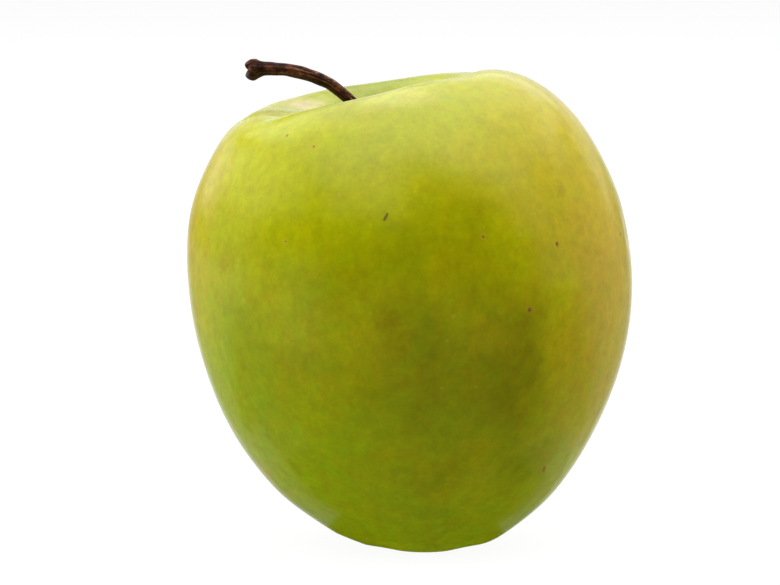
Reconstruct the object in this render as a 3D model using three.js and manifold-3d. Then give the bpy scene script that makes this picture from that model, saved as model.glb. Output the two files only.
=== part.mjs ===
// A green dessert apple as picked: the fruit, the dried stem in the cavity on top and the dried calyx in
// the basin underneath. Millimetres, +Z up. The apple stands on z = 0, on a narrow lobed ring round the basin.
import * as THREE from 'three';
import { mergeVertices } from 'three/addons/utils/BufferGeometryUtils.js';
import Module from 'manifold-3d';

const wasm = await Module();
wasm.setup();

// ---- driving dimensions ----

// The fruit is widest high up and tapers to its foot. Its core leans from the foot towards -X, and its
// shoulder stands higher and fuller on the +X side.
const FOOT_CENTRE_X = 2.3;
const CROWN_CENTRE_X = -5.7;
const CROWN_HEIGHT = 75;
const FRUIT_SEGMENTS = 64;
const RINGS_PER_STATION = 3;

// Five lobes follow the five seed chambers. They turn a little between the foot and the crown.
const LOBES = 5;
const FOOT_LOBE_AZIMUTH = 275;
const CROWN_LOBE_AZIMUTH = 258;

// Stations up the skin, from the middle of the basin underneath to the bottom of the stem's socket.
// low and high are [radius, height] on the -X and the +X side; lobe is how far a lobe moves the skin.
const STATIONS = [
  { name: 'basin floor', low: [0, 8], high: [0, 8], lobe: [0, 0] },
  { name: 'basin throat', low: [3, 7.5], high: [3, 7.5], lobe: [0, 0] },
  { name: 'basin wall', low: [6.5, 4.5], high: [6.5, 4.5], lobe: [0.2, 0] },
  { name: 'foot inside', low: [9, 0], high: [9, 0], lobe: [0.3, -0.2] },
  { name: 'foot outside', low: [12, 0], high: [11.5, 0], lobe: [0.3, -0.2] },
  { name: 'heel', low: [18.5, 4.5], high: [18.5, 4.5], lobe: [0.3, -0.15] },
  { name: 'lower flank', low: [24.5, 10], high: [24.5, 10], lobe: [0.4, -0.1] },
  { name: 'flank', low: [30.5, 19.5], high: [31.5, 19.5], lobe: [0.4, 0] },
  { name: 'belly', low: [34, 31.5], high: [37.5, 31.5], lobe: [0.3, 0] },
  { name: 'girth', low: [35, 45], high: [40.5, 45], lobe: [0.2, 0] },
  { name: 'upper flank', low: [33, 57], high: [40, 58], lobe: [0.3, 0.1] },
  { name: 'shoulder', low: [27, 68], high: [35, 71], lobe: [0.3, 0.2] },
  { name: 'crown edge', low: [22.5, 72], high: [27, 79], lobe: [0.3, 0.2] },
  { name: 'crown', low: [18.5, 73.5], high: [18, 80.5], lobe: [0.2, 0.2] },
  { name: 'cavity lip', low: [9, 72], high: [10, 74.5], lobe: [0.2, 0.2] },
  { name: 'cavity wall', low: [4.5, 65.5], high: [5, 66.5], lobe: [0.1, 0] },
  { name: 'cavity floor', low: [2, 63], high: [2, 63], lobe: [0, 0] },
  { name: 'socket wall', low: [1.75, 61], high: [1.75, 61], lobe: [0, 0] },
  { name: 'socket floor', low: [0, 60.5], high: [0, 60.5], lobe: [0, 0] },
];

// Single folds and swellings of the crown: where each lies, how far it spreads and how far it rises.
const CROWN_SWELLS = [
  { azimuth: 210, spread: 13, station: 13, stations: 0.9, rise: -1.2 },
  { azimuth: 295, spread: 20, station: 13, stations: 1.1, rise: 0.9 },
  { azimuth: 38, spread: 30, station: 13, stations: 1.2, rise: -1.0 },
];

// The stem stands in its socket, climbs out of the cavity and bends over to -X.
const STEM_SEGMENTS = 12;
const STEM_RINGS = 30;
const STEM_ROUTE = [
  [-4.2, 61.4], [-4.7, 64.5], [-5.6, 68], [-7.4, 71.8], [-10, 75.1],
  [-13.1, 77.7], [-17, 79.4], [-21, 80.3], [-27.2, 80.3],
];
// Radius along the stem from root to tip: a swollen root, a thin middle and a knobbed tip.
const STEM_RADII = [1.3, 1.15, 1.1, 1.05, 1.0, 0.95, 1.05, 1.2, 1.75];
// Where the stem broke off the twig its end is a knob of two lobes with a notch between them.
const TIP_LOBE = 0.2;
const TIP_START = 0.9;
const TIP_NOTCH = 0.7;

// The calyx hangs in the basin: five sepals round a tuft of dried stamens.
const SEPALS = 5;
const SEPAL_LENGTH = 5.2;
const SEPAL_WIDTH = 2.4;
const SEPAL_THICKNESS = 0.6;
const SEPAL_ROOT_RADIUS = 1.5;
const SEPAL_TIP_WIDTH = 0.15;
const CALYX_TOP = 7;
const CUP_RADIUS = 2.2;
const CUP_DEPTH = 1;
const STAMENS = 7;
const STAMEN_LENGTH = 2.6;
const STAMEN_RADIUS = 0.28;
const STAMEN_RING_RADIUS = 0.8;
const STAMEN_SPREAD = 14;

const fruitSkin = new THREE.MeshStandardMaterial({ name: 'fruit skin', color: 0x9fa526, roughness: 0.45 });
const stemBark = new THREE.MeshStandardMaterial({ name: 'stem bark', color: 0x2f1a10, roughness: 0.75 });
const drySepal = new THREE.MeshStandardMaterial({ name: 'dry sepal', color: 0x4a3620, roughness: 0.9 });

const radians = THREE.MathUtils.degToRad;

// ---- fruit ----

// One number of every station, as a smooth curve up the skin.
function stationCurve(pick) {
  return new THREE.SplineCurve(STATIONS.map((station) => new THREE.Vector2(...pick(station))));
}

const lowSide = stationCurve((station) => station.low);
const highSide = stationCurve((station) => station.high);
const lobeReach = stationCurve((station) => station.lobe);

// A smooth hump that is 1 in its middle and fades over its spread.
function hump(distance, spread) {
  return Math.exp(-((distance / spread) ** 2));
}

// The shorter way round from one azimuth to another, in degrees.
function azimuthBetween(a, b) {
  return THREE.MathUtils.euclideanModulo(a - b + 180, 360) - 180;
}

// The x of the core's line at a height.
function coreX(height) {
  return THREE.MathUtils.lerp(FOOT_CENTRE_X, CROWN_CENTRE_X, height / CROWN_HEIGHT);
}

// A point on the skin at an azimuth in degrees, a fraction t of the way from basin to socket.
function skinPoint(azimuth, t) {
  const fullness = 0.5 + 0.5 * Math.cos(radians(azimuth));
  const section = lowSide.getPoint(t).lerp(highSide.getPoint(t), fullness);
  const lobeAzimuth = THREE.MathUtils.lerp(FOOT_LOBE_AZIMUTH, CROWN_LOBE_AZIMUTH, t);
  const lobe = Math.cos(radians(LOBES * (azimuth - lobeAzimuth)));
  section.addScaledVector(lobeReach.getPoint(t), lobe);
  const station = t * (STATIONS.length - 1);
  for (const swell of CROWN_SWELLS) {
    const round = hump(azimuthBetween(azimuth, swell.azimuth), swell.spread);
    section.y += swell.rise * round * hump(station - swell.station, swell.stations);
  }
  const radius = section.x;
  const height = Math.max(section.y, 0);
  const x = coreX(height) + radius * Math.cos(radians(azimuth));
  return new THREE.Vector3(x, radius * Math.sin(radians(azimuth)), height);
}

// A lathe turns the middle profile; each vertex then moves to its own place on the lobed, leaning skin.
function fruitGeometry() {
  const rings = (STATIONS.length - 1) * RINGS_PER_STATION;
  const geometry = new THREE.LatheGeometry(lowSide.getPoints(rings), FRUIT_SEGMENTS);
  const { position, uv } = geometry.attributes;
  for (let i = 0; i < position.count; i += 1) {
    const azimuth = 360 * (uv.getX(i) % 1);
    const point = skinPoint(azimuth, uv.getY(i));
    position.setXYZ(i, point.x, point.y, point.z);
  }
  geometry.computeVertexNormals();
  return geometry;
}

// ---- stem ----

// How far round the tip's two lobes stand out, from 0 on the plain stem to 1 at the very end.
function tipShare(t) {
  return THREE.MathUtils.smoothstep(t, TIP_START, 1);
}

// A cylinder whose every vertex moves to its place along the bent route, which lies in the XZ plane.
function stemGeometry() {
  const route = new THREE.CatmullRomCurve3(STEM_ROUTE.map(([x, z]) => new THREE.Vector3(x, 0, z)));
  const radii = new THREE.SplineCurve(STEM_RADII.map((radius, i) => new THREE.Vector2(i, radius)));
  const across = new THREE.Vector3(0, -1, 0);
  const geometry = new THREE.CylinderGeometry(1, 1, 1, STEM_SEGMENTS, STEM_RINGS);
  const { position } = geometry.attributes;
  for (let i = 0; i < position.count; i += 1) {
    const t = position.getY(i) + 0.5;
    const rim = Math.min(Math.hypot(position.getX(i), position.getZ(i)), 1);
    const turn = Math.atan2(position.getZ(i), position.getX(i));
    const along = route.getTangentAt(t);
    const upward = new THREE.Vector3().crossVectors(along, across);
    const radius = rim * radii.getPoint(t).y * (1 + TIP_LOBE * tipShare(t) * Math.cos(2 * turn));
    const notch = TIP_NOTCH * tipShare(t) * (1 - rim * Math.abs(Math.cos(turn)));
    const place = route.getPointAt(t).addScaledVector(along, -notch);
    place.addScaledVector(upward, radius * Math.cos(turn));
    place.addScaledVector(across, radius * Math.sin(turn));
    position.setXYZ(i, place.x, place.y, place.z);
  }
  geometry.computeVertexNormals();
  return geometry;
}

// ---- calyx ----

function toSolid(geometry) {
  const bare = geometry.index ? geometry.clone() : mergeVertices(geometry);
  bare.deleteAttribute('normal');
  bare.deleteAttribute('uv');
  const merged = mergeVertices(bare);
  return new wasm.Manifold(new wasm.Mesh({
    numProp: 3,
    vertProperties: new Float32Array(merged.attributes.position.array),
    triVerts: new Uint32Array(merged.index.array),
  }));
}

function toGeometry(solid) {
  const mesh = solid.getMesh();
  const geometry = new THREE.BufferGeometry();
  geometry.setAttribute('position', new THREE.BufferAttribute(mesh.vertProperties, 3));
  geometry.setIndex(new THREE.BufferAttribute(mesh.triVerts, 1));
  geometry.computeVertexNormals();
  return geometry;
}

// One sepal hanging from the cup along +X: a thin pointed blade that leans in, then curls outwards.
function sepalGeometry() {
  const geometry = new THREE.BoxGeometry(1, SEPAL_THICKNESS, SEPAL_LENGTH, 2, 1, 5);
  const { position } = geometry.attributes;
  for (let i = 0; i < position.count; i += 1) {
    const along = 0.5 - position.getZ(i) / SEPAL_LENGTH;
    const width = THREE.MathUtils.lerp(SEPAL_WIDTH, SEPAL_TIP_WIDTH, along ** 1.5);
    const side = -position.getX(i) * width;
    const thickness = position.getY(i);
    const outward = 1.1 * along - 1.6 * along * (1 - along) + 1.6 * along ** 3;
    const cupped = 0.25 * side * side;
    const x = SEPAL_ROOT_RADIUS + outward - cupped + thickness;
    position.setXYZ(i, x, side, CALYX_TOP - CUP_DEPTH / 2 - along * SEPAL_LENGTH);
  }
  return geometry;
}

// The cup that the sepals and the stamens grow from.
function cupGeometry() {
  const profile = [
    new THREE.Vector2(0, CALYX_TOP - CUP_DEPTH),
    new THREE.Vector2(CUP_RADIUS, CALYX_TOP - CUP_DEPTH * 0.7),
    new THREE.Vector2(CUP_RADIUS * 0.8, CALYX_TOP),
    new THREE.Vector2(0, CALYX_TOP),
  ];
  return new THREE.LatheGeometry(profile, 20).rotateX(Math.PI / 2);
}

// One stamen: a thin cone with its root in the cup and its tip leaning outwards.
function stamenGeometry() {
  const cone = new THREE.CylinderGeometry(STAMEN_RADIUS, STAMEN_RADIUS * 0.5, STAMEN_LENGTH, 5);
  cone.rotateX(Math.PI / 2);
  cone.translate(0, 0, -STAMEN_LENGTH / 2);
  cone.rotateY(radians(-STAMEN_SPREAD));
  return cone.translate(STAMEN_RING_RADIUS, 0, CALYX_TOP - CUP_DEPTH / 2);
}

function calyxGeometry() {
  let solid = toSolid(cupGeometry());
  for (let i = 0; i < SEPALS; i += 1) {
    const turn = radians(FOOT_LOBE_AZIMUTH + (360 * (i + 0.5)) / SEPALS);
    solid = solid.add(toSolid(sepalGeometry().rotateZ(turn)));
  }
  for (let i = 0; i < STAMENS; i += 1) {
    solid = solid.add(toSolid(stamenGeometry().rotateZ((2 * Math.PI * i) / STAMENS)));
  }
  return toGeometry(solid);
}

// ---- the apple ----

function piece(name, geometry, material) {
  const mesh = new THREE.Mesh(geometry, material);
  mesh.name = name;
  return mesh;
}

const apple = new THREE.Group();
const calyx = piece('calyx', calyxGeometry(), drySepal);
calyx.position.x = coreX(CALYX_TOP);
apple.add(piece('fruit', fruitGeometry(), fruitSkin));
apple.add(piece('stem', stemGeometry(), stemBark));
apple.add(calyx);

export default apple;
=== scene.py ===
# %% [markdown]
# # A green dessert apple
# The apple is three things that grew apart: the fruit, the woody stem that carried it, and the dried
# remains of its flower underneath. The solids that hold their shape and size are loaded first and stay
# as they are. Each is then replaced by a finer piece of the same form, with a finish of its own.

# %% Load the frame
import math
import random

import bmesh
import bpy
from mathutils import Matrix, Vector, noise
from mathutils.bvhtree import BVHTree


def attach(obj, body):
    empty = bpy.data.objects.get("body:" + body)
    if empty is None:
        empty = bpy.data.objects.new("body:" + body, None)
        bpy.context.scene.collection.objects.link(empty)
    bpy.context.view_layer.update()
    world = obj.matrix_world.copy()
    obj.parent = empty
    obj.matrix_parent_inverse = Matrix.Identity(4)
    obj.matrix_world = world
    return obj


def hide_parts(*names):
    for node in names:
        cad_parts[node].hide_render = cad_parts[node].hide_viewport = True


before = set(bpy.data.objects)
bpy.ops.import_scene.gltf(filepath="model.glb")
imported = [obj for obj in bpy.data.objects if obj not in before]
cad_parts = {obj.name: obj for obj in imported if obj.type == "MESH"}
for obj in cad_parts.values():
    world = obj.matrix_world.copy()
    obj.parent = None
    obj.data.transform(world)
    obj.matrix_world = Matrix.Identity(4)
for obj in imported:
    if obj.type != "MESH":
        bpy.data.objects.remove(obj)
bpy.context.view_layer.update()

MM = 0.001

# %% [markdown]
# ## From solids to smooth pieces
# A solid arrives as loose triangles. A copy with its corners merged and its triangles paired into quads
# takes a subdivision surface well, because the quads run round and up the fruit as the skin does.
# Remeshing would lose that flow, and modelling the fruit afresh could drift away from the solid.


# %% Helpers for meshes
MERGE_REACH = 0.005 * MM
PAIRING_ANGLE = math.radians(60)


def shaped_object(name, work):
    """A new object at the origin from a bmesh, which is then freed."""
    mesh = bpy.data.meshes.new(name)
    work.to_mesh(mesh)
    work.free()
    made = bpy.data.objects.new(name, mesh)
    bpy.context.scene.collection.objects.link(made)
    for face in mesh.polygons:
        face.use_smooth = True
    return made


def merged_copy(node):
    """A CAD node's mesh as a bmesh, with shared corners merged and triangles paired into quads."""
    work = bmesh.new()
    work.from_mesh(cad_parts[node].data)
    bmesh.ops.remove_doubles(work, verts=work.verts, dist=MERGE_REACH)
    bmesh.ops.join_triangles(
        work, faces=work.faces,
        angle_face_threshold=PAIRING_ANGLE, angle_shape_threshold=PAIRING_ANGLE,
    )
    return work


def subdivided(made, levels):
    """Puts a subdivision surface on an object and makes its result the object's own mesh."""
    smooth = made.modifiers.new("smooth", "SUBSURF")
    smooth.levels = levels
    smooth.render_levels = levels
    evaluated = made.evaluated_get(bpy.context.evaluated_depsgraph_get())
    rough = made.data
    made.data = bpy.data.meshes.new_from_object(evaluated)
    made.modifiers.clear()
    bpy.data.meshes.remove(rough)
    for face in made.data.polygons:
        face.use_smooth = True
    return made


# %% [markdown]
# ## The fruit
# A real skin is never a perfect surface. It swells and sinks by a tenth of a millimetre over the flesh,
# it puckers where it turns down into the stem's cavity, and this one has a crease across its low
# shoulder, a shallow dent high on its right and an uneven rim to its foot. A displacement texture could
# do this, but moving the vertices by a rule keeps each feature where it belongs, and keeps the foot flat
# on the surface it stands on.

# %% The fruit's own measures
FOOT_CENTRE_X = 2.3 * MM
CROWN_CENTRE_X = -5.7 * MM
CROWN_HEIGHT = 75 * MM
CROWN_START = 0.6 * CROWN_HEIGHT
WELL_OUTSIDE = 0.1
SWELL_SIZE = 15 * MM
SWELL_DEPTH = 0.12 * MM
RIPPLE_SIZE = 4.5 * MM
RIPPLE_DEPTH = 0.02 * MM
PUCKER_COUNT = 11
PUCKER_DEPTH = 0.22 * MM
PUCKER_REACH = 5 * MM
PUCKER_SPREAD = 0.6 * PUCKER_REACH
FOOT_FLAT_HEIGHT = 0.3 * MM
FOOT_RIM_HEIGHT = 1.8 * MM
FOOT_RIM_REACH = 8.5 * MM
FOOT_RIM_WIDTH = 2 * MM
# Azimuth and spread in degrees, and how far out in millimetres.
FOOT_RIM_MOVES = [("sag in front", 276, 38, 1.6), ("drawn in on the left", 185, 26, -1.4)]
# Azimuth in degrees and distance from the core, half length along X, half width along Y, and depth.
FOLDS = [
    ("crease on the low side", 190, 17.3 * MM, 6 * MM, 2.6 * MM, 1.1 * MM),
    ("rise behind the crease", 150, 20 * MM, 6 * MM, 5 * MM, -0.45 * MM),
    ("steeper far wall", 88, 9.5 * MM, 9 * MM, 4.5 * MM, 0.9 * MM),
]
DENT_AZIMUTH = 353
DENT_HEIGHT = 53.5 * MM
DENT_WIDTH = 3.2 * MM
DENT_DEPTH = 0.45 * MM


def core_x(height):
    """The x of the fruit's core at a height: the core leans from the foot towards -X."""
    return FOOT_CENTRE_X + (CROWN_CENTRE_X - FOOT_CENTRE_X) * height / CROWN_HEIGHT


def hump(distance, spread):
    """1 in the middle of a hump, fading smoothly over its spread."""
    return math.exp(-((distance / spread) ** 2))


# %% The fruit's smooth skin
SKIN_LEVELS = 2
fruit = subdivided(shaped_object("apple_skin", merged_copy("fruit")), SKIN_LEVELS)
print("skin:", len(fruit.data.polygons), "faces")


def skin_tree():
    """The skin as a tree that rays can be cast on."""
    work = bmesh.new()
    work.from_mesh(fruit.data)
    tree = BVHTree.FromBMesh(work)
    work.free()
    return tree


SKIN = skin_tree()


def skin_point(azimuth, height):
    """The place on the outer skin at an azimuth in degrees round the core and a height in metres. The
    ray comes in from outside, because one from the core would meet the cavity's wall."""
    turn = math.radians(azimuth)
    outward = Vector((math.cos(turn), math.sin(turn), 0))
    start = Vector((core_x(height), 0, height)) + outward * WELL_OUTSIDE
    place, _, _, _ = SKIN.ray_cast(start, -outward)
    return place


def crown_point(azimuth, reach):
    """The place on the crown at an azimuth in degrees and a distance in metres from the core."""
    turn = math.radians(azimuth)
    start = Vector((CROWN_CENTRE_X + reach * math.cos(turn), reach * math.sin(turn), WELL_OUTSIDE))
    place, _, _, _ = SKIN.ray_cast(start, Vector((0, 0, -1)))
    return place


# %% Swells, puckers, folds and the dent
def fold_depth(place, folds):
    """How deep the crown's folds are at a place, in metres."""
    depth = 0
    for centre, length, width, deep in folds:
        away = math.hypot((place.x - centre.x) / length, (place.y - centre.y) / width)
        depth += deep * hump(away, 1)
    return depth


def skin_offset(place, dent, folds):
    """How far the skin stands off its smooth form at a place, in metres."""
    core = core_x(place.z)
    round_core = Vector((place.x - core, place.y, 0))
    offset = SWELL_DEPTH * noise.noise(place / SWELL_SIZE)
    offset += RIPPLE_DEPTH * noise.noise(place / RIPPLE_SIZE)
    offset -= DENT_DEPTH * hump((place - dent).length, DENT_WIDTH)
    if place.z > CROWN_START:
        offset -= fold_depth(place, folds)
    if place.z > CROWN_START and round_core.length < 3 * PUCKER_REACH:
        turn = math.atan2(round_core.y, round_core.x)
        wave = math.sin(PUCKER_COUNT * turn + 2 * noise.noise(place / RIPPLE_SIZE))
        near = hump(round_core.length - PUCKER_REACH, PUCKER_SPREAD)
        offset += PUCKER_DEPTH * wave * near
    return offset


# %% The foot's rim
def foot_rim_shift(place):
    """How far the rim of the foot moves, in metres: out in front, where the fruit sags on it, and in
    on its left."""
    round_core = Vector((place.x - core_x(place.z), place.y, 0))
    if place.z > FOOT_RIM_HEIGHT or round_core.length < FOOT_RIM_REACH:
        return Vector()
    azimuth = math.degrees(math.atan2(round_core.y, round_core.x)) % 360
    far = sum(out * hump(azimuth - middle, spread) for _, middle, spread, out in FOOT_RIM_MOVES)
    low = 1 - place.z / FOOT_RIM_HEIGHT
    outer = min((round_core.length - FOOT_RIM_REACH) / FOOT_RIM_WIDTH, 1)
    return round_core.normalized() * far * low * outer * MM


# %% Moving the skin
def weather_skin():
    """Moves the skin by its offset, all but the foot, which stays flat."""
    dent = skin_point(DENT_AZIMUTH, DENT_HEIGHT)
    folds = [(crown_point(azimuth, reach), *size) for _, azimuth, reach, *size in FOLDS]
    work = bmesh.new()
    work.from_mesh(fruit.data)
    for vert in work.verts:
        if vert.co.z > FOOT_FLAT_HEIGHT:
            vert.co += vert.normal * skin_offset(vert.co.copy(), dent, folds)
        vert.co += foot_rim_shift(vert.co.copy())
        vert.co.z = max(vert.co.z, 0)
    work.to_mesh(fruit.data)
    work.free()


weather_skin()
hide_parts("fruit")
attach(fruit, "root")
print("highest skin:", max(vertex.co.z for vertex in fruit.data.vertices) / MM, "mm")

# %% [markdown]
# ## The stem
# A stem is a twig: a swollen root in the fruit, a thin middle, and a knob of two lobes where it broke
# away from the spur. Dried, it is ridged along its length. It could be a curve with a bevel, but a ring
# of edges extruded along the route lets every ring have its own height, width and ridges.

# %% The stem's route and sections
# X and Z in millimetres, from the root in the fruit to the tip, and the radius at each.
STEM_ROUTE = [
    (-4.2, 61.4), (-4.7, 64.5), (-5.6, 68), (-7.4, 71.8), (-10, 75.1), (-13.1, 77.7),
    (-17, 79.4), (-20.8, 80.3), (-24.2, 80.5), (-25.9, 80.4), (-27.3, 80.3),
]
STEM_RADII = [1.75, 1.25, 1.1, 1.05, 1.0, 0.95, 1.05, 1.12, 1.2, 1.48, 1.5]
STEM_SIDES = 44
STEM_RINGS = 130
TIP_RINGS = 12
ROOT_RINGS = 2
STEM_LEVELS = 1


def along_points(points, t):
    """A point on the smooth curve through points, t from 0 to 1 (a Catmull-Rom spline)."""
    place = t * (len(points) - 1)
    first = min(int(place), len(points) - 2)
    part = place - first
    before = points[max(first - 1, 0)]
    start, end = points[first], points[first + 1]
    after = points[min(first + 2, len(points) - 1)]
    leaving = (end - before) * 0.5
    arriving = (after - start) * 0.5
    cubic = 2 * start - 2 * end + leaving + arriving
    square = 3 * end - 3 * start - 2 * leaving - arriving
    return ((cubic * part + square) * part + leaving) * part + start


ROUTE_POINTS = [Vector((x, 0, z)) for x, z in STEM_ROUTE]
STEM_LENGTH = sum((b - a).length for a, b in zip(ROUTE_POINTS, ROUTE_POINTS[1:]))
print("stem:", round(STEM_LENGTH, 1), "mm along its route")


# %% Where each ring goes
def ring_matrix(t):
    """Where the unit ring goes at t: its X up from the route, its Y across it and its Z along it."""
    centre = along_points(ROUTE_POINTS, t)
    ahead = along_points(ROUTE_POINTS, min(t + 0.01, 1)) - along_points(ROUTE_POINTS, max(t - 0.01, 0))
    ahead.normalize()
    across = Vector((0, -1, 0))
    upward = ahead.cross(across)
    turn = Matrix((upward, across, ahead)).transposed().to_4x4()
    radius = along_points(STEM_RADII, t)
    return Matrix.Translation(centre) @ turn @ Matrix.Diagonal((radius, radius, 1, 1))


RIDGE_SIZE = 0.34
RIDGE_LENGTH = 7


def ridge_at(round_ring, along):
    """The height of the bark's lengthwise ridges, from about -1 to 1, at a place on the unit ring and a
    distance along the stem."""
    place = Vector((round_ring.x / RIDGE_SIZE, round_ring.y / RIDGE_SIZE, along / RIDGE_LENGTH))
    return 1.2 * noise.noise(place) + 0.7 * noise.noise(place * 2.1)


def close_end(work, edges, centre, rings):
    """Closes an open end with rings that shrink to a point."""
    for ring in range(rings, 0, -1):
        grown = bmesh.ops.extrude_edge_only(work, edges=edges)["geom"]
        verts = [part for part in grown if isinstance(part, bmesh.types.BMVert)]
        edges = [part for part in grown if isinstance(part, bmesh.types.BMEdge)]
        share = (ring - 1) / ring
        for vert in verts:
            vert.co = centre.lerp(vert.co, max(share, 0.001))
    bmesh.ops.pointmerge(work, verts=verts, merge_co=centre)


# %% Extruding the stem, ring by ring
def extruded_stem():
    """A tube of rings along the route, closed at both ends, in millimetres. Each corner keeps the height
    of the ridge that it will stand on, and how far it is to the underside, from -1 to 1."""
    work = bmesh.new()
    ridges = work.verts.layers.float.new("ridge")
    under = work.verts.layers.float.new("under")
    bmesh.ops.create_circle(work, segments=STEM_SIDES, radius=1)
    place = ring_matrix(0)
    for vert in work.verts:
        vert[ridges] = ridge_at(vert.co, 0)
        vert[under] = -vert.co.x
    bmesh.ops.transform(work, matrix=place, verts=work.verts)
    edges = list(work.edges)
    first_ring = list(work.edges)
    for ring in range(1, STEM_RINGS + 1):
        grown = bmesh.ops.extrude_edge_only(work, edges=edges)["geom"]
        verts = [part for part in grown if isinstance(part, bmesh.types.BMVert)]
        edges = [part for part in grown if isinstance(part, bmesh.types.BMEdge)]
        following = ring_matrix(ring / STEM_RINGS)
        for vert in verts:
            round_ring = place.inverted() @ vert.co
            vert[ridges] = ridge_at(round_ring, STEM_LENGTH * ring / STEM_RINGS)
            vert[under] = -round_ring.x
            vert.co = following @ round_ring
        place = following
    close_end(work, edges, place.translation, TIP_RINGS)
    close_end(work, first_ring, ring_matrix(0).translation, ROOT_RINGS)
    bmesh.ops.recalc_face_normals(work, faces=work.faces)
    return work


# %% Carving the knob
# The length is in millimetres, and the rest in the stem's own radius at its end.
KNOB_LENGTH = 2.9
TOP_LOBE = 0.2
LOW_LOBE = 0.45
LOBE_BULGE = 0.75
LOBE_PLACE = 0.6
LOBE_SPREAD = 0.45
TIP_TRIM = 0.35
EDGE_ROUNDING = 0.75
KNOB_WARP = Vector((0.3, 0.15, 0.15))


def smooth_step(value):
    """0 below 0, 1 above 1 and smooth between."""
    value = min(max(value, 0), 1)
    return value * value * (3 - 2 * value)


def carve_knob(work):
    """Shapes the end like a small bone's: two round lobes, up and down, with a dip between them."""
    tip = ROUTE_POINTS[-1]
    outward = (ROUTE_POINTS[-1] - ROUTE_POINTS[-2]).normalized()
    near_tip = [vert for vert in work.verts if vert.co.x < ROUTE_POINTS[-4].x]
    for vert in near_tip:
        knob = smooth_step(1 - (tip - vert.co).dot(outward) / KNOB_LENGTH)
        rise = (vert.co.z - tip.z) / STEM_RADII[-1]
        side = vert.co.y / STEM_RADII[-1]
        spread = math.hypot(rise, side)
        lobe = hump(abs(rise) - LOBE_PLACE, LOBE_SPREAD)
        push = LOBE_BULGE * lobe - TIP_TRIM - EDGE_ROUNDING * spread ** 4 * (0.4 + 0.6 * knob)
        vert.co += outward * knob * push
        vert.co.z += knob * rise * abs(rise) * (TOP_LOBE if rise > 0 else LOW_LOBE)
        vert.co += KNOB_WARP * knob * noise.noise(vert.co * 0.8)


# %% Raising the ridges
RIDGE_DEPTH = 0.12
KNOT_DEPTH = 0.12
KNOT_SIZE = 2


def raise_ridges(work):
    """Pushes the bark out by its ridges and a few broad knots."""
    ridges = work.verts.layers.float["ridge"]
    work.normal_update()
    for vert in work.verts:
        knot = KNOT_DEPTH * noise.noise(vert.co / KNOT_SIZE)
        vert.co += vert.normal * (RIDGE_DEPTH * vert[ridges] + knot)
    bmesh.ops.scale(work, vec=(MM, MM, MM), verts=work.verts)


stem_mesh = extruded_stem()
carve_knob(stem_mesh)
raise_ridges(stem_mesh)
stem = subdivided(shaped_object("stem_twig", stem_mesh), STEM_LEVELS)
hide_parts("stem")
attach(stem, "root")
print("stem faces:", len(stem.data.polygons))

# %% [markdown]
# ## The calyx
# Underneath, in the basin, the flower's five sepals have dried round a tuft of stamens. One sepal is a
# grid narrowed to a point, curled and thickened; the others are turned copies, each a little different.
# A flat star would look printed on, so the blades stand free of the skin and their tips curl out.

# %% The calyx's place, and joining its parts
CALYX_TOP = 7 * MM
CALYX_CENTRE = Vector((core_x(CALYX_TOP), 0, 0))
chance = random.Random(7)


def join_into(work, part):
    """Adds a finished bmesh to another and frees it."""
    holder = bpy.data.meshes.new("holder")
    part.to_mesh(holder)
    part.free()
    work.from_mesh(holder)
    bpy.data.meshes.remove(holder)


# %% One sepal
SEPAL_LENGTH = 5.4 * MM
SEPAL_WIDTH = 2.7 * MM
SEPAL_TIP_WIDTH = 0.1 * MM
SEPAL_THICKNESS = 0.28 * MM
SEPAL_ROOT_RADIUS = 1.5 * MM
SEPAL_ROOT_DROP = 0.4 * MM
SEPAL_CURLS = (1.2, 2.2)
SEPAL_TWISTS = (-0.5, 0.5)
CRINKLE_DEPTH = 0.22 * MM


def add_sepal(work, azimuth):
    """A pointed blade hanging from the cup at an azimuth, with its tip curled outwards."""
    blade = bmesh.new()
    bmesh.ops.create_grid(blade, x_segments=8, y_segments=18, size=0.5)
    curl = chance.uniform(*SEPAL_CURLS)
    twist = chance.uniform(*SEPAL_TWISTS)
    for vert in blade.verts:
        down = 0.5 - vert.co.y
        width = SEPAL_WIDTH * (1 - down ** 1.6) + SEPAL_TIP_WIDTH
        side = vert.co.x * width
        crinkle = CRINKLE_DEPTH * noise.noise(Vector((vert.co.x * 3, down * 4, azimuth)))
        lean = (0.6 * down - 1.3 * down * (1 - down) + curl * down ** 3) * MM
        cupped = 0.09 * (side / MM) ** 2 * MM
        out = SEPAL_ROOT_RADIUS + lean - cupped + crinkle
        height = CALYX_TOP - SEPAL_ROOT_DROP - down * SEPAL_LENGTH
        vert.co = Vector((out, side + twist * down * down * MM, height))
    bmesh.ops.recalc_face_normals(blade, faces=blade.faces)
    bmesh.ops.solidify(blade, geom=blade.faces, thickness=SEPAL_THICKNESS)
    turn = Matrix.Translation(CALYX_CENTRE) @ Matrix.Rotation(math.radians(azimuth), 4, "Z")
    bmesh.ops.transform(blade, matrix=turn, verts=blade.verts)
    join_into(work, blade)


# %% The cup
CUP_RADIUS = 2.5 * MM
CUP_HALF_HEIGHT = 0.9 * MM
CUP_DROP = 0.3 * MM
CUP_LUMPS = 0.14


def add_cup(work):
    """The shrunken cup that the sepals grow from: a flattened ball with a lumpy underside."""
    cup = bmesh.new()
    bmesh.ops.create_icosphere(cup, subdivisions=4, radius=1)
    for vert in cup.verts:
        lump = 1 + CUP_LUMPS * noise.noise(vert.co * 3.1)
        x, y, z = vert.co
        vert.co = Vector((x * CUP_RADIUS, y * CUP_RADIUS, z * CUP_HALF_HEIGHT)) * lump
    bmesh.ops.translate(cup, vec=CALYX_CENTRE + Vector((0, 0, CALYX_TOP - CUP_DROP)), verts=cup.verts)
    join_into(work, cup)


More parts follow.
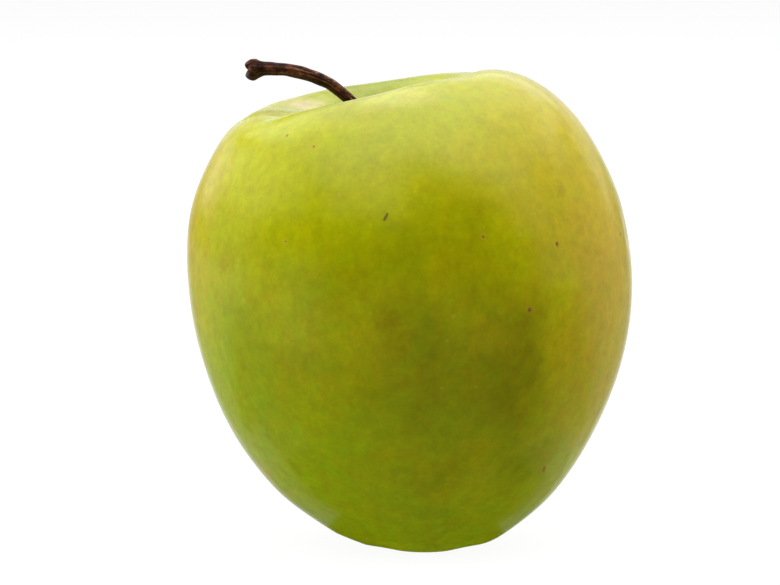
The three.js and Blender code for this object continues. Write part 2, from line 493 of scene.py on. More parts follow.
# %% The stamens
STAMENS = 15
STAMEN_LENGTH = 2.7 * MM
STAMEN_SHARES = (0.6, 1.1)
STAMEN_RADIUS = 0.11 * MM
STAMEN_ROOT_DROP = 0.5 * MM
STAMEN_LEANS = (-24, 4)
# In radians: the golden angle, which fills a disc evenly.
STAMEN_TURN = 2.4
ANTHER_RADIUS = 0.26 * MM
TUFT_RADIUS = 1.3 * MM


def add_stamen(work, number):
    """A thin bent thread with a dried anther at its end."""
    thread = bmesh.new()
    length = STAMEN_LENGTH * chance.uniform(*STAMEN_SHARES)
    bmesh.ops.create_cone(
        thread, cap_ends=True, segments=8, depth=length,
        radius1=STAMEN_RADIUS * 0.7, radius2=STAMEN_RADIUS,
    )
    bmesh.ops.translate(thread, vec=(0, 0, -length / 2), verts=thread.verts)
    anther = bmesh.ops.create_icosphere(thread, subdivisions=2, radius=ANTHER_RADIUS)["verts"]
    bmesh.ops.scale(thread, vec=(0.8, 0.8, 1.3), verts=anther)
    bmesh.ops.translate(thread, vec=(0, 0, -length), verts=anther)
    lean = Matrix.Rotation(math.radians(chance.uniform(*STAMEN_LEANS)), 4, "Y")
    turn = Matrix.Rotation(STAMEN_TURN * number, 4, "Z")
    reach = TUFT_RADIUS * math.sqrt(number / STAMENS)
    out = Matrix.Translation(Vector((reach, 0, CALYX_TOP - STAMEN_ROOT_DROP)))
    place = Matrix.Translation(CALYX_CENTRE) @ turn @ out @ lean
    bmesh.ops.transform(thread, matrix=place, verts=thread.verts)
    join_into(work, thread)


# %% Putting the calyx together
SEPALS = 5
FIRST_SEPAL_AZIMUTH = 311
UNEVENNESS = 5

sepal_mesh = bmesh.new()
for number in range(SEPALS):
    uneven = chance.uniform(-UNEVENNESS, UNEVENNESS)
    add_sepal(sepal_mesh, FIRST_SEPAL_AZIMUTH + number * 360 / SEPALS + uneven)
add_cup(sepal_mesh)
sepals = shaped_object("calyx_sepals", sepal_mesh)

stamen_mesh = bmesh.new()
for number in range(STAMENS):
    add_stamen(stamen_mesh, number)
stamens = shaped_object("calyx_stamens", stamen_mesh)

for piece in (sepals, stamens):
    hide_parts("calyx")
    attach(piece, "root")
print("calyx faces:", len(sepals.data.polygons) + len(stamens.data.polygons))

# %% [markdown]
# ## Writing a finish as sums
# A finish is a net of nodes, which is hard to read as a list of links. Here a wire is the output of a
# node, and sums on wires add the Math nodes that work them out, so that a finish reads as a formula.


# %% Wires and finishes
class Wire:
    """The output of a node in a finish. Sums on it make Math nodes."""

    def __init__(self, finish, socket):
        self.finish = finish
        self.socket = socket

    def __add__(self, other):
        return self.finish.maths("ADD", self, other)

    def __sub__(self, other):
        return self.finish.maths("SUBTRACT", self, other)

    def __rsub__(self, other):
        return self.finish.maths("SUBTRACT", other, self)

    def __mul__(self, other):
        return self.finish.maths("MULTIPLY", self, other)

    def __truediv__(self, other):
        return self.finish.maths("DIVIDE", self, other)

    __radd__ = __add__
    __rmul__ = __mul__


class Finish:
    """A material under construction. Its node method adds any node."""

    def __init__(self, name):
        self.material = bpy.data.materials.new(name)
        self.material.use_nodes = True
        self.tree = self.material.node_tree
        self.shader = self.tree.nodes["Principled BSDF"]

    def feed(self, socket, value):
        """Links a wire to a socket, or sets the socket's own value."""
        if isinstance(value, Wire):
            self.tree.links.new(value.socket, socket)
        else:
            socket.default_value = value

    def node(self, kind, settings=None, inputs=None, output=0):
        """Adds a node of a kind, with its settings first and then its inputs, and gives its output."""
        made = self.tree.nodes.new("ShaderNode" + kind)
        for name, value in (settings or {}).items():
            setattr(made, name, value)
        for name, value in (inputs or {}).items():
            self.feed(made.inputs[name], value)
        return Wire(self, made.outputs[output])

    def maths(self, operation, *values):
        return self.node("Math", {"operation": operation}, dict(enumerate(values)))

    def set(self, **sockets):
        """Feeds the shader's sockets: base_color becomes Base Color."""
        names = {"base_color": "Base Color", "roughness": "Roughness", "normal": "Normal"}
        for name, value in sockets.items():
            self.feed(self.shader.inputs[names[name]], value)


# %% Common moves in a finish
def paint(red, green, blue):
    """A colour given in the 0 to 255 steps of a screen, as the linear light that a shader works in."""
    steps = [value / 255 for value in (red, green, blue)]
    linear = [s / 12.92 if s <= 0.04045 else ((s + 0.055) / 1.055) ** 2.4 for s in steps]
    return (*linear, 1)


def millimetres(finish):
    """Where the shaded point is on the object, in millimetres."""
    where = finish.node("TexCoord", output="Object")
    return finish.node("VectorMath", {"operation": "SCALE"}, {0: where, "Scale": 1 / MM})


def axes_of(finish, place):
    """The x, y and z of a place."""
    return [finish.node("SeparateXYZ", inputs={0: place}, output=axis) for axis in range(3)]


def vector_of(finish, x, y, z):
    return finish.node("CombineXYZ", inputs={0: x, 1: y, 2: z})


def ramp(finish, value, low, high):
    """0 below low, 1 above high and smooth between. low may be the greater, which turns it round."""
    settings = {"interpolation_type": "SMOOTHSTEP"}
    ends = {"Value": value, "From Min": low, "From Max": high, "To Min": 0.0, "To Max": 1.0}
    if low > high:
        ends.update({"From Min": high, "From Max": low, "To Min": 1.0, "To Max": 0.0})
    return finish.node("MapRange", settings, ends)


def clouds(finish, place, size, detail=3.0, roughness=0.5):
    """Soft noise from 0 to 1 whose clouds are about a size across, in millimetres."""
    inputs = {"Vector": place, "Scale": 1 / size, "Detail": detail, "Roughness": roughness}
    return finish.node("TexNoise", inputs=inputs)


def moved(finish, place, far):
    """A place moved along X, to look up another part of the same noise."""
    return finish.node("VectorMath", {"operation": "ADD"}, {0: place, 1: (far, 0, 0)})


def mixed(finish, share, under, over, blend="MIX"):
    """One colour over another, by a share from 0 to 1."""
    settings = {"data_type": "RGBA", "blend_type": blend}
    return finish.node("Mix", settings, {0: share, 6: under, 7: over}, output=2)


# %% [markdown]
# ## The skin's colour
# Green apples aren't one green. This one is leaf green low on its left, yellow green above, olive in
# the middle and warm ochre on its right, where it had the sun. Faint streaks run down it from stem to
# calyx, small pale pores dot it, and a few knocks left brown marks. Each of these is a mask between 0
# and 1, made from where a point lies round and up the fruit, and the colours are laid over each other.

# %% The skin's paints
YELLOW_GREEN = paint(181, 185, 1)
LEAF_GREEN = paint(160, 186, 4)
BRIGHT_YELLOW = paint(198, 198, 4)
OLIVE = paint(153, 151, 0)
OCHRE = paint(200, 176, 8)
GOLD = paint(218, 185, 14)
BLUSH = paint(206, 170, 20)
# Painted highlight: a pale cream for the sheen along the front rim of the crown.
RIM_HIGHLIGHT_PALE = paint(226, 220, 120)
# Painted shade: a darker yellow green for the crease on the crown's low side.
CREASE_SHADE_GREEN = paint(178, 172, 0)
# Painted reflection: a pale grey pink for the far slope of the crease.
FOLD_REFLECTION_PALE = paint(200, 180, 130)
RUSSET = paint(132, 96, 44)
DEEP_GREEN = paint(142, 150, 0)
BACK_GREEN = paint(136, 152, 2)
PORE_CREAM = paint(218, 206, 60)
MARK_BROWN = paint(104, 78, 12)
HALO_TAN = paint(208, 172, 40)
BRUISE = paint(158, 136, 6)

# %% Places on the skin
def round_and_up(finish, place):
    """How far right and how far forward a point faces, from -1 to 1, its height, and its distance
    from the core."""
    x, y, z = axes_of(finish, place)
    lean = (CROWN_CENTRE_X - FOOT_CENTRE_X) / CROWN_HEIGHT
    sideways = x - (z * lean + FOOT_CENTRE_X / MM)
    radius = finish.maths("SQRT", sideways * sideways + y * y)
    radius = finish.maths("MAXIMUM", radius, 0.5)
    return sideways / radius, y / radius * -1.0, z, radius


# %% [markdown]
# ## Patches over a ground colour
# A fruit's colour drifts, and one noise would drift evenly everywhere. Here a ground colour turns greener
# towards the foot, and named patches go over it, each at its own place round and up the fruit. Noise
# pushes the places about, so that no patch has a round edge. A painted image could do the same, but
# would have to be wrapped round a form that is closed, and kept in a file.

# %% Where the patches lie
# Azimuth in degrees round the core, height, half width and half height in millimetres, then strength.
PATCHES = [
    ("bright left shoulder", BRIGHT_YELLOW, 224, 65, 14, 11, 0.4),
    ("bright upper middle", BRIGHT_YELLOW, 269, 65, 8, 8, 0.4),
    ("bright upper right", BRIGHT_YELLOW, 291, 68, 9, 7, 0.4),
    ("warm left edge", OCHRE, 192, 58, 13, 22, 0.7),
    ("warm shoulder above the cheek", OCHRE, 336, 74, 18, 14, 0.5),
    ("warm upper right", GOLD, 306, 66, 11, 10, 0.2),
    ("warm right shoulder", OCHRE, 322, 66, 15, 12, 0.25),
    ("warm cheek", OCHRE, 326, 48, 17, 28, 0.9),
    ("blush on the cheek", BLUSH, 336, 48, 12, 22, 0.55),
    ("warm low cheek", OCHRE, 335, 26, 8, 11, 0.4),
    ("warm far side", OCHRE, 2, 48, 20, 26, 0.7),
    ("warm far shoulder", OCHRE, 8, 70, 20, 13, 0.7),
    ("warm upper front", OCHRE, 294, 58, 14, 16, 0.2),
    ("warm low front", OCHRE, 270, 17, 14, 6, 0.15),
    ("olive upper right", OLIVE, 292, 51, 5, 8, 0.3),
    ("olive flank", OLIVE, 300, 31, 7, 16, 0.85),
    ("olive by the pit", OLIVE, 299, 42, 5, 6, 0.6),
    ("olive middle", OLIVE, 285, 34, 14, 14, 0.6),
    ("olive low middle", OLIVE, 270, 30, 11, 10, 0.4),
    ("warm middle", OCHRE, 292, 40, 6, 5, 0.35),
    ("olive upper middle", OLIVE, 283, 57, 8, 9, 0.35),
    ("olive left of the middle", OLIVE, 264, 50, 7, 8, 0.3),
    ("deep spot on the left", DEEP_GREEN, 223, 38, 8, 8, 0.4),
    ("deep spot left of the middle", DEEP_GREEN, 243, 34, 8, 5, 0.35),
    ("olive spot high in front", OLIVE, 292, 59, 5, 5, 0.4),
    ("olive spot in the middle", OLIVE, 271, 41, 5, 5, 0.45),
    ("olive spot below the middle", OLIVE, 273, 26, 4, 4, 0.45),
    ("olive spot low in front", OLIVE, 280, 15, 4, 4, 0.45),
    ("deep column", DEEP_GREEN, 273, 53, 4, 10, 0.35),
    ("deep low column", DEEP_GREEN, 277, 41, 3.5, 8, 0.45),
    ("deep low right", DEEP_GREEN, 310, 17, 7, 6, 0.5),
    ("deep left of the column", DEEP_GREEN, 252, 48, 6, 8, 0.3),
    ("deep left flank", DEEP_GREEN, 220, 29, 11, 11, 0.35),
    ("green front", LEAF_GREEN, 272, 24, 13, 8, 0.4),
    ("green left flank", LEAF_GREEN, 216, 32, 12, 12, 0.5),
    ("green lower left", LEAF_GREEN, 240, 20, 12, 9, 0.3),
    ("bright low front", BRIGHT_YELLOW, 286, 13, 6, 6, 0.5),
    ("bright spot by the pit", BRIGHT_YELLOW, 314, 46, 5, 6, 0.5),
    # Painted light: the two low edges are made paler, as a rim light would make them.
    ("painted rim light low on the left", OCHRE, 192, 13, 8, 16, 0.45),
    ("painted rim light low on the right", BRIGHT_YELLOW, 347, 14, 7, 14, 0.5),
    ("green back", BACK_GREEN, 95, 44, 38, 46, 0.8),
]
# The same on the crown, where the second number is the distance from the core.
CROWN_PATCHES = [
    # Painted shade in the crease on the crown's low side.
    ("painted shade in the crease", CREASE_SHADE_GREEN, 181, 17, 4, 2.5, 0.95),
    # Painted reflection: the far slope of the crease is made pale.
    ("painted reflection behind the crease", FOLD_REFLECTION_PALE, 144, 15, 5, 3, 0.7),
    ("green inner wall", LEAF_GREEN, 82, 14, 7, 5, 0.6),
    # Painted shade along the front rim of the crown.
    ("shaded rim in front", OLIVE, 262, 23, 12, 4, 0.35),
    # Painted highlight: a pale sheen along the front rim of the crown.
    ("painted highlight on the front rim", RIM_HIGHLIGHT_PALE, 277, 22, 9, 2.5, 0.4),
    # Painted shade in the hollow round the stem.
    ("shaded hollow", DEEP_GREEN, 95, 13, 10, 6, 0.8),
]
print("patches:", len(PATCHES), "on the sides,", len(CROWN_PATCHES), "on the crown")


# %% Patches of colour
def patch(finish, place, centre, width, tall):
    """A soft round patch on the skin: 1 at its middle and 0 outside it."""
    away = finish.node("VectorMath", {"operation": "SUBTRACT"}, {0: place, 1: centre / MM})
    scaled = finish.node("VectorMath", {"operation": "DIVIDE"}, {0: away, 1: (width, width, tall)})
    far = finish.node("VectorMath", {"operation": "LENGTH"}, {0: scaled}, "Value")
    return ramp(finish, far, 1.3, 0.2)


def wandering(finish, place, size, reach):
    """The place pushed about by soft noise, so that patches get uneven edges."""
    inputs = {"Vector": place, "Scale": 1 / size, "Detail": 3.0}
    push = finish.node("TexNoise", inputs=inputs, output="Color")
    push = finish.node("VectorMath", {"operation": "SUBTRACT"}, {0: push, 1: (0.5, 0.5, 0.5)})
    push = finish.node("VectorMath", {"operation": "SCALE"}, {0: push, "Scale": reach})
    return finish.node("VectorMath", {"operation": "ADD"}, {0: place, 1: push})


# %% The ground colour and the patches
LEAF_SHARE = 0.65
WANDER_SIZE = 8
WANDER_REACH = 9


def patched_colour(skin, place, green):
    """Yellow green turning to leaf green by a wire, green, with every patch laid over it."""
    colour = mixed(skin, ramp(skin, green, 0.1, 1.0) * LEAF_SHARE, YELLOW_GREEN, LEAF_GREEN)
    wander = wandering(skin, place, WANDER_SIZE, WANDER_REACH)
    for _, tint, azimuth, height, width, tall, strength in PATCHES:
        share = patch(skin, wander, skin_point(azimuth, height * MM), width, tall) * strength
        colour = mixed(skin, share, colour, tint)
    for _, tint, azimuth, reach, width, tall, strength in CROWN_PATCHES:
        share = patch(skin, place, crown_point(azimuth, reach * MM), width, tall) * strength
        colour = mixed(skin, share, colour, tint)
    return colour


# %% [markdown]
# ## Russet, pores and knocks
# Corky russet grows where the skin is stretched, in the throat round the stem and in the basin round the
# calyx. The pores are pale dots, and a knock leaves a brown dot, often in a tan halo. Each mark's mask
# comes from the distance to the nearest one, counted in its own radius, and fine noise eats into its
# edge, because a clean circle would look printed.

# %% Where the marks and pores lie
# Azimuth in degrees round the core, height and radius in millimetres.
DARK_MARKS = [
    ("pit on the right", 304, 43.5, 0.26),
    ("dot with a halo", 314, 53.8, 0.24),
    ("reddish dot", 294, 55.7, 0.17),
    ("dot at the right edge", 342, 53.7, 0.26),
    ("dark dot low on the right", 320, 15.2, 0.26),
    ("tail of the low dot", 320.4, 14.7, 0.2),
    ("dot on the left shoulder", 236, 70.9, 0.18),
    ("second dot on the left shoulder", 249, 69.6, 0.15),
    ("dot on the left", 242, 54.5, 0.13),
    ("dot near the rim", 288, 78.7, 0.18),
    ("dot on the back", 74, 50, 0.28),
    ("low dot on the back", 128, 27, 0.22),
    ("dot behind the left", 172, 58, 0.2),
]
SCRATCH = [
    ("top of the scratch", 270.6, 59.45, 0.15), ("upper part of the scratch", 270.45, 59.25, 0.18),
    ("middle of the scratch", 270.2, 59.0, 0.2), ("lower part of the scratch", 269.95, 58.75, 0.2),
    ("low end of the scratch", 269.75, 58.55, 0.15),
]
PALE_PORES = [
    ("pore", 284, 43.1, 0.42), ("pore", 282, 39.1, 0.36), ("pore", 280, 31.2, 0.36),
    ("pore", 289, 31.2, 0.36), ("pore", 286, 21.8, 0.4), ("pore", 304, 55.8, 0.4),
    ("pore", 226, 44.2, 0.6), ("pore", 258, 62.3, 0.45), ("pore", 213, 36.6, 0.5),
    ("pore", 260, 38.4, 0.35), ("pore", 288, 9.4, 0.35), ("pore", 242, 54.5, 0.6),
]
SMUDGES = [
    ("smudge on the left", 218, 49.6, 2.4), ("smudge on the right", 320, 62.3, 2.0),
    ("reddish smudge in front", 268, 42.4, 3.4), ("smudge by the pit", 303, 41.5, 2.0),
]
print("marks:", len(DARK_MARKS), "pores:", len(PALE_PORES), "smudges:", len(SMUDGES))


# %% Russet
def russet_masks(skin, z, radius, streaks, fine):
    """Where russet has grown: in the throat round the stem, and in the basin underneath."""
    throat = ramp(skin, radius, 9, 3) * ramp(skin, z, 40, 60)
    throat = ramp(skin, throat + (streaks - 0.5) * 0.9 + (fine - 0.5) * 0.5, 0.45, 0.95)
    basin = ramp(skin, radius, 9, 4) * ramp(skin, z, 14, 8)
    basin = ramp(skin, basin + (fine - 0.5) * 0.8 + (streaks - 0.5) * 0.5, 0.5, 1.0)
    return throat, basin


# %% Marks on the skin
def nearest(finish, place, marks):
    """The distance to the nearest mark, counted in that mark's own radius."""
    result = None
    for _, azimuth, height, radius in marks:
        centre = skin_point(azimuth, height * MM) / MM
        away = finish.node("VectorMath", {"operation": "DISTANCE"}, {0: place, 1: centre}, "Value")
        away = away / radius
        result = away if result is None else finish.maths("MINIMUM", result, away)
    return result


def smudge_mask(skin, place, fine):
    """The faint bruises."""
    return ramp(skin, nearest(skin, place, SMUDGES) + (fine - 0.5) * 1.6, 1.0, 0.1)


def mark_masks(skin, place, fine):
    """The halos of the knocks, and the dark of the knocks and the scratch."""
    grit = clouds(skin, place, 0.24, 2)
    knock = nearest(skin, place, DARK_MARKS)
    halo = ramp(skin, knock + (fine - 0.5) * 2.5 + (grit - 0.5) * 2.0, 4.4, 1.4)
    dark = skin.maths("MINIMUM", knock, nearest(skin, place, SCRATCH))
    return halo, ramp(skin, dark + (grit - 0.5) * 2.6, 1.9, 0.7)


# %% Pores in the skin
PORE_CELLS = 0.3
STREWN_PORE = 0.15
PLACED_PORE = 0.3


def pore_mask(skin, place):
    """Small pores strewn in about half of the cells of a Voronoi texture, and the larger placed ones."""
    cells = {"Vector": place, "Scale": PORE_CELLS}
    middle = skin.node("TexVoronoi", inputs=cells)
    pick = skin.node("TexVoronoi", inputs=cells, output="Color")
    chosen = ramp(skin, axes_of(skin, pick)[0], 0.5, 0.6)
    strewn = ramp(skin, middle, 0.10, 0.05) * chosen * STREWN_PORE
    placed = ramp(skin, nearest(skin, place, PALE_PORES), 1.2, 0.5) * PLACED_PORE
    return skin.maths("MAXIMUM", strewn, placed)


# %% [markdown]
# ## The mottle, and the whole finish
# Close to, the skin is mottled, light against dark and green against red. Two noises of different sizes
# multiply the colour, so that the mottle shows in every patch. The green and red one is calmer on the
# shoulders. The skin's shine comes from its wax: it is smooth, a little duller where russet or a knock
# breaks it, and the finest unevenness is a bump of a few hundredths of a millimetre.

# %% The mottle
LIGHT_MOTTLE_SIZE = 2.2
LIGHT_MOTTLE = 0.88
TINT_MOTTLE_SIZE = 3.5
TINT_MOTTLE = 0.32
SHOULDER_CALM = 0.5
# Painted shade: the share by which the top of the crown is darkened.
TOP_SHADE = 0.08


def mottle_tint(skin, place, z, streaks):
    """The colour that the skin's own is multiplied by."""
    light = clouds(skin, place, LIGHT_MOTTLE_SIZE, 5, 0.8) - 0.5 + (streaks - 0.5) * 0.15
    # The second factor is painted shade, darkening the top of the crown.
    shade = (1 + light * LIGHT_MOTTLE) * (1 - ramp(skin, z, 72.5, 79) * TOP_SHADE)
    tint = (clouds(skin, moved(skin, place, 50), TINT_MOTTLE_SIZE, 4, 0.68) - 0.5) * TINT_MOTTLE
    tint = tint * (1 - ramp(skin, z, 46, 60) * SHOULDER_CALM)
    return vector_of(skin, shade * (1 - tint), shade * (1 + tint), shade)


# %% The skin's finish
THROAT_RUSSET = 0.7
BASIN_RUSSET = 0.55
SMUDGE_STRENGTH = 0.4
HALO_STRENGTH = 0.45
MARK_STRENGTH = 0.8
WAX_ROUGHNESS = 0.2
WAX_IOR = 1.4


def skin_finish():
    skin = Finish("apple skin")
    place = millimetres(skin)
    right, forward, z, radius = round_and_up(skin, place)
    patchy = clouds(skin, place, 7, 3)
    fine = clouds(skin, place, 0.7, 2)
    streaks = clouds(skin, vector_of(skin, right * 22, forward * 22, z * 0.14), 1.0, 4, 0.6)
    heel = ramp(skin, z + right * 10, 36, 4)
    colour = patched_colour(skin, place, heel + (patchy - 0.5) * 1.2 + (streaks - 0.5) * 0.3)

    throat, basin = russet_masks(skin, z, radius, streaks, fine)
    halo, dark = mark_masks(skin, place, fine)
    pores = pore_mask(skin, place)
    for share, paint_over in (
        (throat * THROAT_RUSSET, RUSSET),
        (basin * BASIN_RUSSET, RUSSET),
        (smudge_mask(skin, place, fine) * SMUDGE_STRENGTH, BRUISE),
        (pores, PORE_CREAM),
        (halo * HALO_STRENGTH, HALO_TAN),
        (dark * MARK_STRENGTH, MARK_BROWN),
    ):
        colour = mixed(skin, share, colour, paint_over)
    colour = mixed(skin, 1.0, colour, mottle_tint(skin, place, z, streaks), "MULTIPLY")

    rough = WAX_ROUGHNESS + (patchy - 0.5) * 0.08 + throat * 0.3 + basin * 0.3 + dark * 0.4
    height = fine * 0.006 + clouds(skin, place, 0.35, 1) * 0.003 + clouds(skin, place, 3.5, 2) * 0.04
    height = height - dark * 0.01 + pores * 0.02 + throat * patchy * 0.15
    bump = skin.node("Bump", inputs={"Strength": 1.0, "Distance": MM, "Height": height})
    skin.set(base_color=colour, roughness=rough, normal=bump)
    skin.shader.inputs["IOR"].default_value = WAX_IOR
    return skin.material


fruit.data.materials.clear()
fruit.data.materials.append(skin_finish())
print("skin nodes:", len(fruit.data.materials[0].node_tree.nodes))

# %% [markdown]
# ## The stem's bark
# Dry bark is dark brown, redder where the light skin has worn off, and dusty tan along its ridges. The
# ridges are in the mesh; the finish adds the fine cracks, and paints by height on the ridges. The top of
# the stem and the end of its lower lobe are made paler as painted highlights, and the underside grey as a
# painted reflection.


# %% The bark's finish
BARK_BLACK = paint(34, 18, 13)
BARK_BROWN = paint(92, 52, 36)
BARK_RED = paint(128, 76, 54)
# Pale dust on worn ridges, also used for the painted highlights on the top and on the lobe's end.
BARK_DUST_AND_HIGHLIGHT = paint(168, 136, 114)
# Painted reflection: the grey that the stem's underside is turned.
UNDERSIDE_REFLECTION_GREY = paint(52, 40, 56)


def bark_finish():
    bark = Finish("stem bark")
    place = millimetres(bark)
    x, y, z = axes_of(bark, place)
    ridge = bark.node("Attribute", {"attribute_name": "ridge"}, output="Fac")
    under = bark.node("Attribute", {"attribute_name": "under"}, output="Fac")
    lengthwise = vector_of(bark, x * 0.3, y, z * 0.8)
    grain = clouds(bark, lengthwise, 0.4, 4, 0.6)
    patches = clouds(bark, place, 1.8, 3)
    specks = clouds(bark, place, 0.3, 2)
    brown = ridge * 0.5 + (grain - 0.5) * 1.2 + (patches - 0.5) * 1.6
    colour = mixed(bark, ramp(bark, brown, -0.35, 0.35), BARK_BLACK, BARK_BROWN)
    red = ridge * 0.6 + (patches - 0.5) * 2.2 + (specks - 0.5) * 0.8
    colour = mixed(bark, ramp(bark, red, 0.1, 0.7) * 0.8, colour, BARK_RED)
    worn = ramp(bark, ridge * 0.5 + (grain - 0.5) * 1.4 + (specks - 0.5) * 0.6, 0.15, 0.65)
    # Painted highlight: the pale dust is laid on more thickly along the top of the stem; on worn ridges
    # it is real wear.
    top = ramp(bark, under + (patches - 0.5) * 0.6, -0.3, -0.9)
    colour = mixed(bark, worn * (0.45 + top * 0.45), colour, BARK_DUST_AND_HIGHLIGHT)
    # Painted highlight: a pale patch on the end of the knob's lower lobe.
    lobe_highlight = ramp(bark, x, -26.6, -27.6) * ramp(bark, z, 80.2, 79.2) * ramp(bark, patches, 0.3, 0.5)
    colour = mixed(bark, lobe_highlight * 0.75, colour, BARK_DUST_AND_HIGHLIGHT)
    # Painted reflection: the underside is turned grey.
    colour = mixed(bark, ramp(bark, under + (patches - 0.5) * 0.8, 0.3, 0.9) * 0.8, colour, UNDERSIDE_REFLECTION_GREY)
    height = grain * 0.10 + specks * 0.03
    bump = bark.node("Bump", inputs={"Strength": 1.0, "Distance": MM, "Height": height})
    bark.set(base_color=colour, roughness=0.6 + worn * 0.2, normal=bump)
    bark.shader.inputs["Specular IOR Level"].default_value = 0.08
    return bark.material


stem.data.materials.append(bark_finish())

# %% [markdown]
# ## The calyx's dry tissue
# Dead sepals are grey brown and felted, darker at their roots. The stamens are a shade paler.

# %% The dry finishes
SEPAL_DARK = paint(62, 46, 30)
SEPAL_PALE = paint(128, 108, 74)
STAMEN_DARK = paint(70, 48, 28)
STAMEN_PALE = paint(150, 122, 84)


def dry_finish(name, dark, pale):
    dry = Finish(name)
    place = millimetres(dry)
    _, _, z = axes_of(dry, place)
    felt = clouds(dry, place, 0.25, 4, 0.65)
    patches = clouds(dry, place, 1.4, 3)
    share = ramp(dry, patches * 0.7 + felt * 0.5 + (6.0 - z) * 0.06, 0.4, 0.95)
    colour = mixed(dry, share, dark, pale)
    bump = dry.node("Bump", inputs={"Strength": 1.0, "Distance": MM, "Height": felt * 0.12})
    dry.set(base_color=colour, roughness=0.9, normal=bump)
    return dry.material


sepals.data.materials.append(dry_finish("dry sepal", SEPAL_DARK, SEPAL_PALE))
stamens.data.materials.append(dry_finish("dry stamen", STAMEN_DARK, STAMEN_PALE))

# %% [markdown]
# ## The stage
# The apple stands on a pale sheet under a wide soft light. A glossy skin is a mirror: each panel round
# it draws a pale band on it, and the open front keeps its middle deep. A panel straight behind draws the
# pale line along its outline. Panels drawn as one plane would have hard edges in the skin, so the large
# ones are soft boxes, whose light fades out over the edge. The glows light the skin without a reflection.


# %% Floor
FLOOR_SIZE = 5
FLOOR_GREY = 0.09
FLOOR_GLOW = 0.94


def make_floor():
    """A pale sheet that only the camera sees, with a faint shadow on it."""
    work = bmesh.new()
    bmesh.ops.create_grid(work, x_segments=1, y_segments=1, size=FLOOR_SIZE)
    floor = shaped_object("floor", work)
    white = Finish("pale sheet")
    white.set(base_color=(FLOOR_GREY, FLOOR_GREY, FLOOR_GREY, 1), roughness=1.0)
    white.shader.inputs["Specular IOR Level"].default_value = 0.0
    white.shader.inputs["Emission Color"].default_value = (1, 1, 1, 1)
    white.shader.inputs["Emission Strength"].default_value = FLOOR_GLOW
    floor.data.materials.append(white.material)
    floor.visible_glossy = False
    floor.visible_diffuse = False
    floor.visible_shadow = False


make_floor()


# %% A panel
MIDDLE = (0, 0, 0.042)


def add_panel(name, place, aim, width, height, brightness):
    """A flat soft light that faces a point. Brightness is what it shows: 1 is white. No two may lie in
    one plane, because a ray that meets one would miss the other."""
    lamp = bpy.data.lights.new(name, "AREA")
    lamp.shape = "RECTANGLE"
    lamp.size = width
    lamp.size_y = height
    lamp.energy = brightness * math.pi * width * height
    panel = bpy.data.objects.new(name, lamp)
    panel.location = place
    panel.rotation_euler = (Vector(aim) - Vector(place)).to_track_quat("-Z", "Y").to_euler()
    panel.visible_camera = False
    bpy.context.scene.collection.objects.link(panel)
    return panel


# %% A soft box
SOFT_LAYERS = 3
LAYER_GAP = 10 * MM


def add_softbox(name, place, aim, width, height, brightness, edge):
    """Panels of shrinking size, one behind the other, so that the light fades out over its edge."""
    away = (Vector(place) - Vector(aim)).normalized()
    for layer in range(SOFT_LAYERS):
        inset = edge * (2 * layer / (SOFT_LAYERS - 1) - 1)
        behind = Vector(place) + away * LAYER_GAP * layer
        share = brightness / SOFT_LAYERS
        add_panel(f"{name} {layer}", behind, aim, width - inset, height - inset, share)


# %% The panels that the skin mirrors
add_softbox("overhead", (0.06, 0.405, 0.95), (0.06, 0.405, 0), 2.22, 2.15, 1.5, 0.2)
add_softbox("overhead middle", (0.03, 0.03, 0.90), (0.03, 0.03, 0), 0.95, 1.05, 1.2, 0.3)
add_softbox("window behind", (0.27, 0.94, 0.54), MIDDLE, 0.5, 0.24, 1.1, 0.08)
add_softbox("left front flap", (-0.27, -0.54, 0.57), MIDDLE, 0.58, 0.32, 0.8, 0.14)
add_panel("right front flap", (0.63, -0.27, 0.41), MIDDLE, 0.22, 0.28, 0.4)
add_softbox("left wall top", (-0.7, 0.24, 0.47), MIDDLE, 0.55, 0.34, 0.85, 0.12)
add_softbox("left wall front", (-0.74, -0.155, 0.52), MIDDLE, 0.32, 0.32, 0.75, 0.16)
add_softbox("left wall", (-0.76, 0.42, 0.14), (0, 0.42, 0.14), 0.8, 0.5, 0.12, 0.1)
add_softbox("window on the left", (-0.6, 0.52, 0.27), MIDDLE, 0.3, 0.24, 0.7, 0.08)
add_panel("right wall", (0.65, 0.24, 0.30), (0, 0.24, 0.30), 1.03, 0.6, 0.44)
add_panel("right wall top", (0.72, 0.26, 0.54), MIDDLE, 0.35, 0.2, 0.6)
add_panel("back wall top", (0, 0.9, 0.36), (0, 0, 0.36), 1.9, 0.36, 0.72)
add_panel("back wall", (0, 0.91, 0.09), (0, 0, 0.09), 1.6, 0.18, 0.25)
add_softbox("backdrop", (0, 0.95, -0.05), MIDDLE, 0.6, 0.42, 0.9, 0.25)
add_panel("sheet behind", (0, 0.462, -0.01), (0, 0.462, 1), 1.5, 0.87, 0.32)
add_panel("sheet on the left", (-0.35, 0.0, -0.012), (-0.35, 0.0, 1), 0.61, 0.05, 0.12)
add_panel("sheet on the right", (0.35, 0.0, -0.012), (0.35, 0.0, 1), 0.61, 0.05, 0.1)
add_panel("sheet near the foot, left", (-0.045, 0.018, -0.013), (-0.045, 0.018, 1), 0.05, 0.04, 0.24)
add_panel("sheet near the foot, right", (0.048, 0.026, -0.014), (0.048, 0.026, 1), 0.05, 0.04, 0.18)

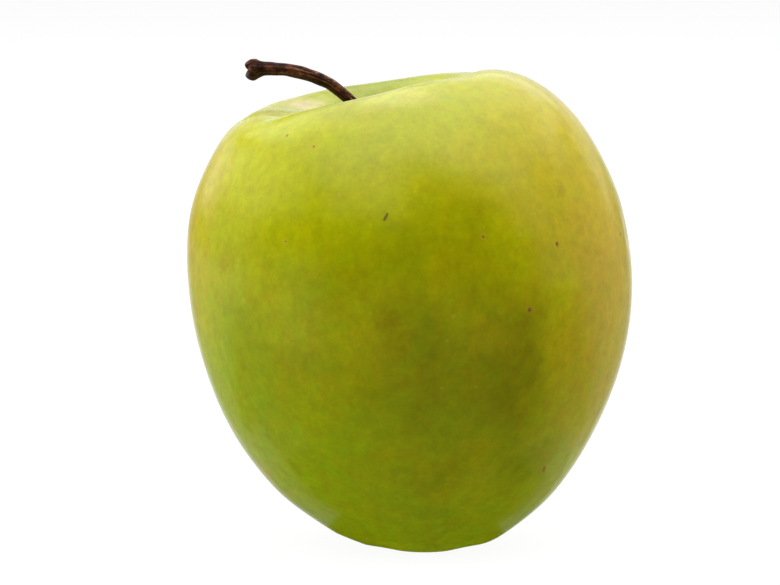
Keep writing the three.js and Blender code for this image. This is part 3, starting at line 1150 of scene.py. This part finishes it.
# %% Glows
for glow in (
    add_panel("brow glow", (-0.1, -0.6, 0.8), MIDDLE, 0.5, 0.3, 2.0),
    add_panel("left glow", (-0.6, 0.32, 0.08), MIDDLE, 0.6, 0.5, 2.7),
    add_panel("left low glow", (-0.62, -0.2, -0.12), MIDDLE, 0.5, 0.4, 1.3),
    add_panel("right glow", (0.6, 0.3, 0.1), MIDDLE, 0.5, 0.5, 1.5),
    add_panel("right low glow", (0.45, 0.42, -0.22), MIDDLE, 0.5, 0.5, 1.8),
    add_panel("sheet before", (-0.1, -0.25, -0.02), (-0.1, -0.25, 1), 1.0, 0.6, 0.36),
):
    glow.visible_glossy = False
print("lights:", len(bpy.data.lights))

# %% The room
ROOM_FILL = 0.07


def make_room():
    """White where the camera sees it, and a dim fill everywhere else."""
    world = bpy.data.worlds.new("room")
    world.use_nodes = True
    tree = world.node_tree
    background = tree.nodes["Background"]
    rays = tree.nodes.new("ShaderNodeLightPath")
    fill = tree.nodes.new("ShaderNodeMapRange")
    fill.inputs["To Min"].default_value = ROOM_FILL
    fill.inputs["To Max"].default_value = 1.0
    tree.links.new(rays.outputs["Is Camera Ray"], fill.inputs["Value"])
    tree.links.new(fill.outputs["Result"], background.inputs["Strength"])
    background.inputs["Color"].default_value = (1, 1, 1, 1)
    world.cycles_visibility.glossy = False
    bpy.context.scene.world = world


make_room()

# %% [markdown]
# ## The camera
# The apple is seen from a little above its middle, from far enough away that its sides hardly taper.

# %% Camera
TARGET = Vector((-3.2, 0, 42.4)) * MM
DISTANCE = 650 * MM
ELEVATION = math.radians(7)
METRES_A_PIXEL = 0.17 * MM
FRAME_WIDTH = 780
SENSOR = 36

lens = bpy.data.cameras.new("camera")
lens.sensor_width = SENSOR
lens.lens = DISTANCE / (METRES_A_PIXEL * FRAME_WIDTH) * SENSOR
camera = bpy.data.objects.new("camera", lens)
camera.location = TARGET + DISTANCE * Vector((0, -math.cos(ELEVATION), math.sin(ELEVATION)))
camera.rotation_euler = (math.radians(90) - ELEVATION, 0, 0)
bpy.context.scene.collection.objects.link(camera)
bpy.context.scene.camera = camera
bpy.context.scene.view_settings.view_transform = "Standard"
print("lens:", round(lens.lens, 1), "mm")
